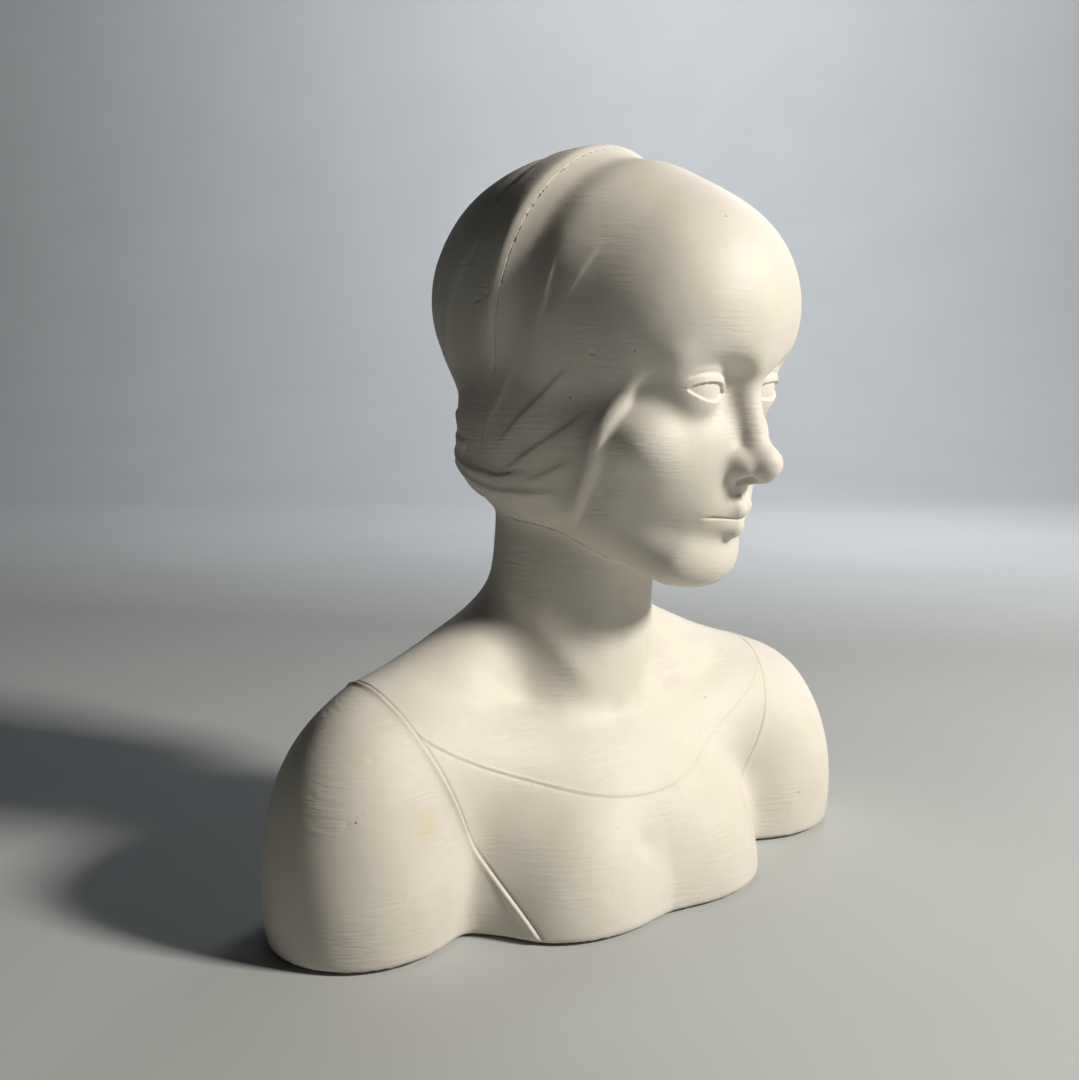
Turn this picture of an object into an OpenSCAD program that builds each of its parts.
// Portrait bust of a woman in a close-fitting coif, cast in marble-filled plaster.
// Seven hollow castings are doweled and glued along the seams of the dress, and a
// steel rod ties the neck to a board that closes the underside.
// Millimetres, +Z up, the sitter faces -Y, origin at the middle of the bust's footprint.

/* [Overall] */
// Height from the table to the crown
bust_h = 300; // [240:5:380]
// Width over both sleeves
bust_w = 285; // [235:5:345]

/* [Head] */
// Turn of the head towards the sitter's left, degrees
head_turn = 15; // [0:1:25]
// Bow of the head, degrees
head_bow = 10; // [0:1:18]

/* [Castings] */
// Wall of the hollow castings
wall = 11; // [9:0.5:14]
// Land of the rim that stands around the base board
rim_w = 7.5; // [6:0.5:9]
// Half distance between the sleeve seams at the table
seam_x = 56; // [46:1:66]
// Lean of the sleeve seams from upright, degrees
seam_lean = 24; // [18:1:28]
// Height of the neckline at the centre of the front
neckline_z = 50; // [42:1:58]
// Radius of the neckline's arc
neckline_r = 160; // [130:5:200]
// Climb of the neckline from front to back, degrees
neckline_climb = 8; // [0:1:12]

/* [Dowels] */
// Diameter of the brass dowels in the seams
dowel_d = 4; // [3:0.5:5]
// Length of a dowel
dowel_l = 16; // [10:1:20]
// Radial room for glue around a dowel
dowel_fit = 0.1; // [0.05:0.05:0.2]

/* [Tie rod] */
// Diameter of the tie rod
rod_d = 10; // [8:1:12]
// Diameter of the tapped hole in the rod's foot, inside the thread
tap_d = 5; // [4:0.5:6]
// Depth of the tapped hole
tap_l = 18; // [10:1:25]
// Width of the rod's nuts across their flats
nut_w = 17; // [14:1:20]
// Thickness of a nut
nut_t = 5; // [4:0.5:6]
// Diameter of the washers under the nuts
washer_d = 24; // [20:1:28]
// Thickness of a washer
washer_t = 2; // [1:0.5:3]
// Radial room around the rod where it passes a casting or the board
rod_room = 0.5; // [0.3:0.1:1]

/* [Base] */
// Thickness of the board that closes the underside
board_t = 14; // [12:1:18]
// Gap between the board's edge and the rim
board_gap = 0.4; // [0.2:0.1:0.8]
// Thickness of the felt pads
pad_t = 1; // [0.8:0.1:2]
// Diameter of a felt pad
pad_d = 20; // [14:1:24]
// Shank diameter of the board's screws
screw_d = 4; // [3:0.5:5]
// Length of the board's screws
screw_l = 28; // [24:1:32]
// Side of a hardwood block that takes a screw
block_w = 22; // [20:1:24]
// Height of a block
block_h = 22; // [18:1:26]

/* [Hidden] */

// Colours
STONE = "antiquewhite";
BRASS = "goldenrod";
STEEL = "silver";
WOOD = "burlywood";
FELT = "dimgray";

// The clay masses below are drawn for a bust 300 high and 285 wide, then scaled.
k = bust_h / 300;
kx = bust_w / 285;
far = 400;
around_torso = 84;
around_head = 64;
head_rows = 38;

// ---- Clay: signed distances to simple masses, melted together ----

function ball(p, c, r) =
    let (q = [(p.x - c.x) / r.x, (p.y - c.y) / r.y, (p.z - c.z) / r.z],
         a = norm(q), b = norm([q.x / r.x, q.y / r.y, q.z / r.z]))
    b < 1e-9 ? -min(r) : a * (a - 1) / b;

function limb(p, a, b, ra, rb) =
    let (ab = b - a, h = max(0, min(1, (p - a) * ab / (ab * ab))))
    norm(p - a - h * ab) - ra - (rb - ra) * h;

function total(list, i = 0) = i == len(list) ? 0 : list[i] + total(list, i + 1);

function melt(list, soft) =
    let (m = min(list)) m - soft * ln(total([for (v = list) exp((m - v) / soft)]));

function between(t, at, value, i = 0) =
    i > len(at) - 3 || t <= at[i + 1]
        ? value[i] + (value[i + 1] - value[i]) * (t - at[i]) / (at[i + 1] - at[i])
        : between(t, at, value, i + 1);

// The sitter's right shoulder is carried a little higher than the left.
shrug = 0.03;
torso_clay = function (w)
    let (p = [w.x / kx, w.y / k, w.z / k],
         q = [abs(p.x), p.y, p.z + shrug * p.x * max(0, min(1, p.z / 60))])
    k * melt([
        ball(q, [0, -12, 8], [80, 52, 62]),               // rib cage
        ball(q, [28, -43, 4], [32, 24, 34]),              // breast
        ball(q, [0, 18, 36], [92, 36, 58]),               // upper back
        ball(q, [104, -5, 20], [38.5, 37, 66]),           // upper arm
        ball(q, [85, 2, 54], [32, 30, 33]),               // shoulder cap
        limb(q, [0, -16, 44], [76, -6, 58], 26, 24),      // upper chest
        limb(q, [0, 18, 106], [86, 6, 70], 24, 21),       // slope of the shoulder
        limb(q, [0, 8, 62], [4, -4, 165], 34, 30.5),      // neck
    ], 5);

head_clay = function (w)
    let (p = w / k, q = [abs(p.x), p.y, p.z])
    k * melt([
        ball(q, [0, 10, 30], [62, 74, 62]),               // skull under the coif
        ball(q, [0, -30, 36], [50, 43, 44]),              // forehead
        ball(q, [30, 8, -18], [30, 36, 38]),              // coif over the ear
        ball(q, [0, 20, -8], [40, 40, 40]),               // gathers at the nape
        ball(q, [0, -24, -16], [48, 44, 46]),             // face
        limb(q, [38, -4, -36], [13, -50, -56], 13, 12),   // jaw
        ball(q, [0, -56, -58], [15, 12, 11]),             // chin
    ], 4);

// The face adds the hollows of the eyes, the eyelids, the nose and the lips.
face_clay = function (w)
    let (p = w / k, q = [abs(p.x), p.y, p.z])
    k * melt([
        -melt([-head_clay(w) / k, ball(q, [20, -76, 10], [15, 11, 9])], 4),
        ball(q, [20, -56, 9], [13, 12, 12]),
        limb(q, [0, -62, 16], [0, -75, -17], 4, 7.5),
        ball(q, [0, -58, -37], [17, 8, 8]),
    ], 3);

// Distance from o along d at which a mass reaches the given depth under its skin.
function reach(clay, o, d, depth, lo = 0, hi = far, n = 14) =
    n == 0 ? (lo + hi) / 2
    : let (m = (lo + hi) / 2)
      clay(o + d * m) < -depth ? reach(clay, o, d, depth, m, hi, n - 1)
                               : reach(clay, o, d, depth, lo, m, n - 1);

function touch(clay, o, d, depth) = o + d * reach(clay, o, d, depth);

// ---- Torso: rings of rays that climb from the table to the top of the neck ----

neck_top = 165 * k;
step_t = [0, 0.4, 0.65, 0.82, 1];
function torso_point(u, t, depth, top) =
    let (side = pow(abs(cos(u)), 1.5),
         lift = between(t, step_t, [0, 8, 30, 20, 0]) * (1 - side)
              + between(t, step_t, [0, 18, 72, 62, 0]) * side,
         spread = between(t, step_t, [84, 84, 66, 20, 0]) * kx,
         o = [spread * cos(u), between(t, [0, 0.65, 1], [-4, 2, -4]) * k,
              between(t, step_t, [0, 22 * k, 46 * k, 78 * k, top])])
    touch(torso_clay, o, [cos(u) * cos(lift), sin(u) * cos(lift), sin(lift)], depth);

function torso_rings(depth, top, n, rows) =
    [for (j = [0:rows]) [for (i = [0:n - 1]) torso_point(360 * i / n, j / rows, depth, top)]];

// ---- Head: rays from its middle, closer together over the face ----

head_at = [10 * kx, -10 * k, 206.3 * k];
head_core = [0, -14 * k, 0];
function head_ray(i, n, w) =
    let (a = 360 * i / n, u = a - 90 - 18 * sin(a))
    [cos(u) * cos(w), sin(u) * cos(w), sin(w)];

function head_rings(clay, depth, n, rows) =
    [for (j = [1:rows - 1]) [for (i = [0:n - 1])
        touch(clay, head_core, head_ray(i, n, 180 * j / rows - 90), depth)]];

function head_poles(clay, depth) =
    [for (z = [-1, 1]) touch(clay, head_core, [0, 0, z], depth)];

// The bust stands with its nose and the back of its coif equally far from the origin.
function room_y(p) = head_at.y + p.x * sin(head_turn)
    + (p.y * cos(head_bow) - p.z * sin(head_bow)) * cos(head_turn);
function head_depths(clay, from, to) =
    [for (j = [1:head_rows - 1]) for (i = [from:to])
        room_y(touch(clay, head_core, head_ray(i, around_head, 180 * j / head_rows - 90), 0))];
set_back = -(min(head_depths(face_clay, -2, 2))
    + max(head_depths(face_clay, around_head / 2 - 8, around_head / 2 + 8))) / 2;
module placed() { translate([0, set_back, 0]) children(); }

module in_head() { translate(head_at) rotate([head_bow, 0, head_turn]) children(); }

// ---- Skins over rings of points ----

module skin(rings, poles = []) {
    n = len(rings[0]);
    last = len(rings) - 1;
    points = concat([for (ring = rings) each ring], poles);
    sides = [for (j = [0:last - 1]) for (i = [0:n - 1])
        let (a = j * n + i, b = j * n + (i + 1) % n)
        each [[a, a + n, b], [b, a + n, b + n]]];
    foot = len(poles) == 0 ? [[for (i = [0:n - 1]) i]]
         : [for (i = [0:n - 1]) [i, (i + 1) % n, (last + 1) * n]];
    cap = len(poles) == 0 ? [[for (i = [n - 1:-1:0]) last * n + i]]
         : [for (i = [0:n - 1]) [last * n + (i + 1) % n, last * n + i, (last + 1) * n + 1]];
    polyhedron(points, concat(sides, foot, cap), convexity = 6);
}

module torso_outside() { skin(torso_rings(0, neck_top, around_torso, 28)); }
module torso_inside() { skin(torso_rings(wall, neck_top - wall, 48, 14)); }
module head_outside() {
    in_head() skin(head_rings(face_clay, 0, around_head, head_rows), head_poles(face_clay, 0));
}
module head_inside() {
    in_head() skin(head_rings(head_clay, wall, 36, 18), head_poles(head_clay, wall));
}

// ---- Joints between the castings ----

lots = 2 * far;
seam_n = [cos(seam_lean), 0, -sin(seam_lean)];

// Everything outside the seam plane of one sleeve: side is 1 on the sitter's left.
module beyond_seam(side) {
    scale([side, 1, 1]) translate([seam_x * kx, 0, 0]) rotate([0, seam_lean, 0])
        translate([0, -far, -far]) cube([lots, lots, lots]);
}

// The neckline is a slanted round arch that runs from one sleeve seam to the other.
neckline_front = -46 * k;
module in_neckline() {
    translate([0, neckline_front, neckline_z * k + neckline_r])
        rotate([neckline_climb, 0, 0]) children();
}
module above_neckline() {
    in_neckline() rotate([90, 0, 0]) cylinder(r = neckline_r, h = lots, center = true, $fn = 180);
}

// The coif parts behind the roll that crosses the crown.
coif_y = 12 * k;
coif_lean = 2;
module behind_roll() {
    in_head() translate([0, coif_y, 0]) rotate([coif_lean, 0, 0])
        translate([-far, 0, -far]) cube([lots, lots, lots]);
}

// ---- Base board and what stands on it ----

rim_z = pad_t;
board_z = rim_z + board_t;
function rim_outline(depth) =
    [for (i = [0:5:359]) let (p = torso_point(i, 0, depth, neck_top)) [p.x, p.y]];

module board_shape(depth) {
    translate([0, 0, rim_z]) linear_extrude(board_t) polygon(rim_outline(depth));
}

// Each half has a screw and its block at the front wall and at the back wall. A row is
// the distance from the middle, then the screw's place and the block's place, which both
// stand a wall's thickness further in.
fixings = [[30, -54, -58], [46, 34, 40]];
function inward(y, by) = y * k - sign(y) * by;
screw_at = [for (side = [-1, 1]) for (f = fixings) [side * f[0] * kx, inward(f[1], wall)]];
block_at = [for (side = [-1, 1]) for (f = fixings) [side * f[0] * kx, inward(f[2], wall)]];
pad_x = 108;
pad_edge = [-32, 22];
pad_at = [for (side = [-1, 1]) for (y = pad_edge) [side * pad_x * kx, inward(y, pad_d / 2)]];

// ---- Dowels ----

bore_d = dowel_d + 2 * dowel_fit;
bore_l = dowel_l + 1;
near = dowel_l / 2;

// A round pin that is centred between two points and runs along their line.
module pin(ends, d, l) {
    run = ends[1] - ends[0];
    translate((ends[0] + ends[1]) / 2) rotate([0, acos(run.z / norm(run)), atan2(run.y, run.x)])
        cylinder(d = d, h = l, center = true, $fn = 24);
}

// Where a ray crosses the middle of the casting's wall. Each dowel follows the wall:
// it runs between two such points, one on each side of its seam.
function mid_wall(clay, o, d) = touch(clay, o, d, wall / 2);

seam_up = [sin(seam_lean), 0, cos(seam_lean)];
seam_spots = [-160, 150, 90, 30, -15];
function seam_spot(side, angle, off) =
    let (o = [seam_x * kx, 0, 0] + seam_up * 40 * k + seam_n * off,
         d = seam_up * sin(angle) + [0, cos(angle), 0],
         p = mid_wall(function (p) torso_clay([side * p.x, p.y, p.z]), o, d))
    [side * p.x, p.y, p.z];
module seam_dowels(side, d, l) {
    for (a = seam_spots) pin([seam_spot(side, a, -near), seam_spot(side, a, near)], d, l);
}

coif_spots = [-20, 32, 84, 148, 200];
function coif_spot(angle, off) =
    mid_wall(head_clay, [0, coif_y + off, 20 * k],
             [cos(angle), -sin(coif_lean) * sin(angle), cos(coif_lean) * sin(angle)]);
module coif_dowels_at(d, l) {
    in_head() for (a = coif_spots) pin([coif_spot(a, -near), coif_spot(a, near)], d, l);
}

neckline_spots = [for (facing = [-1, 1]) for (turn = [-20, 0, 20]) [turn, facing]];
function neckline_spot(turn, facing, off) =
    let (along = [0, cos(neckline_climb), sin(neckline_climb)],
         down = [sin(turn), cos(turn) * sin(neckline_climb), -cos(turn) * cos(neckline_climb)],
         centre = [0, neckline_front, neckline_z * k + neckline_r],
         o = centre + down * (neckline_r + off) - along * neckline_front)
    mid_wall(torso_clay, o, along * facing);
module neckline_dowels_at(d, l) {
    for (s = neckline_spots)
        pin([neckline_spot(s[0], s[1], -near), neckline_spot(s[0], s[1], near)], d, l);
}

// ---- Tie rod ----

rod_inset = 1;
rod_proud = 3;
rod_foot = rim_z + rod_inset;
rod_head = neck_top + washer_t + nut_t + rod_proud;
lower_seat = rod_foot + rod_inset + nut_t + washer_t;
sink_d = washer_d + 2;
module rod_hole(z0, z1) {
    translate([0, 0, z0]) cylinder(d = rod_d + 2 * rod_room, h = z1 - z0, $fn = 48);
}
module washer(z) {
    translate([0, 0, z]) difference() {
        cylinder(d = washer_d, h = washer_t, $fn = 48);
        rod_hole(-1, washer_t + 1);
    }
}
module nut(z) {
    translate([0, 0, z]) difference() {
        cylinder(d = nut_w / cos(30), h = nut_t, $fn = 6);
        translate([0, 0, -1]) cylinder(d = rod_d, h = nut_t + 2, $fn = 48);
    }
}

// ---- Castings ----

// Thin walls that are cut from the smooth masses come out as one skin each.
module cast() { color(STONE) resize([0, 0, 0]) children(); }

module torso_shell() {
    difference() {
        torso_outside();
        torso_inside();
        board_shape(rim_w);
        translate([-far, -far, -far]) cube([lots, lots, far + rim_z]);
    }
}
// The head is open below, where the rod's upper nut stands in it.
module head_shell() {
    difference() {
        head_outside();
        head_inside();
        torso_outside();
        translate([0, 0, neck_top - 1]) cylinder(d = sink_d, h = 2 * wall, $fn = 48);
    }
}

module head_front() {
    placed() difference() {
        cast() difference() { head_shell(); behind_roll(); }
        coif_dowels_at(bore_d, bore_l);
    }
}
module coif_back() {
    placed() difference() {
        cast() intersection() { head_shell(); behind_roll(); }
        coif_dowels_at(bore_d, bore_l);
    }
}
module neck_and_shoulders() {
    placed() difference() {
        cast() difference() {
            intersection() { torso_shell(); above_neckline(); }
            beyond_seam(-1);
            beyond_seam(1);
        }
        rod_hole(neck_top - 2 * wall, neck_top + 1);
        neckline_dowels_at(bore_d, bore_l);
        seam_dowels(-1, bore_d, bore_l);
        seam_dowels(1, bore_d, bore_l);
    }
}
module bodice(back) {
    placed() difference() {
        cast() difference() {
            intersection() {
                torso_shell();
                translate([-far, back ? 0 : -lots, -1]) cube([lots, lots, lots]);
            }
            above_neckline();
            beyond_seam(-1);
            beyond_seam(1);
        }
        neckline_dowels_at(bore_d, bore_l);
        seam_dowels(-1, bore_d, bore_l);
        seam_dowels(1, bore_d, bore_l);
    }
}
module bodice_front() { bodice(false); }
module bodice_back() { bodice(true); }
module sleeve(side) {
    placed() difference() {
        cast() intersection() { torso_shell(); beyond_seam(side); }
        seam_dowels(side, bore_d, bore_l);
    }
}
module sleeve_right() { sleeve(-1); }
module sleeve_left() { sleeve(1); }

// ---- Dowels, rod, base ----

module coif_dowels() { color(BRASS) placed() coif_dowels_at(dowel_d, dowel_l); }
module neckline_dowels() { color(BRASS) placed() neckline_dowels_at(dowel_d, dowel_l); }
module sleeve_dowels_right() { color(BRASS) placed() seam_dowels(-1, dowel_d, dowel_l); }
module sleeve_dowels_left() { color(BRASS) placed() seam_dowels(1, dowel_d, dowel_l); }

module tie_rod() {
    color(STEEL) placed() difference() {
        translate([0, 0, rod_foot]) cylinder(d = rod_d, h = rod_head - rod_foot, $fn = 48);
        translate([0, 0, rod_foot - 1]) cylinder(d = tap_d, h = tap_l + 1, $fn = 32);
    }
}
module upper_washer() { color(STEEL) placed() washer(neck_top); }
module upper_nut() { color(STEEL) placed() nut(neck_top + washer_t); }
module lower_washer() { color(STEEL) placed() washer(lower_seat - washer_t); }
module lower_nut() { color(STEEL) placed() nut(lower_seat - washer_t - nut_t); }

// A countersunk screw that stands on its head, flush with the rim.
module screw(at) {
    translate([at.x, at.y, rim_z]) {
        cylinder(d = screw_d, h = screw_l, $fn = 32);
        cylinder(d1 = 2 * screw_d, d2 = screw_d, h = screw_d / 2, $fn = 32);
    }
}
module base_board() {
    color(WOOD) placed() difference() {
        board_shape(rim_w + board_gap);
        rod_hole(0, board_z + 1);
        cylinder(d = sink_d, h = lower_seat, $fn = 48);
        for (at = screw_at) screw(at);
    }
}
module base_screws() { color(STEEL) placed() for (at = screw_at) screw(at); }

// The blocks are scribed to the wall that they are glued to, and rest on the board.
module screw_blocks() {
    placed() for (i = [0:len(block_at) - 1]) difference() {
        color(WOOD) resize([0, 0, 0]) intersection() {
            torso_inside();
            translate([block_at[i].x - block_w / 2, block_at[i].y - block_w / 2, board_z])
                cube([block_w, block_w, block_h]);
        }
        screw(screw_at[i]);
    }
}
module felt_pads() {
    color(FELT) placed() for (at = pad_at)
        translate([at.x, at.y, 0]) cylinder(d = pad_d, h = pad_t, $fn = 48);
}

head_front();
coif_back();
neck_and_shoulders();
bodice_front();
bodice_back();
sleeve_right();
sleeve_left();
coif_dowels();
neckline_dowels();
sleeve_dowels_right();
sleeve_dowels_left();
tie_rod();
upper_washer();
upper_nut();
lower_washer();
lower_nut();
base_board();
screw_blocks();
base_screws();
felt_pads();
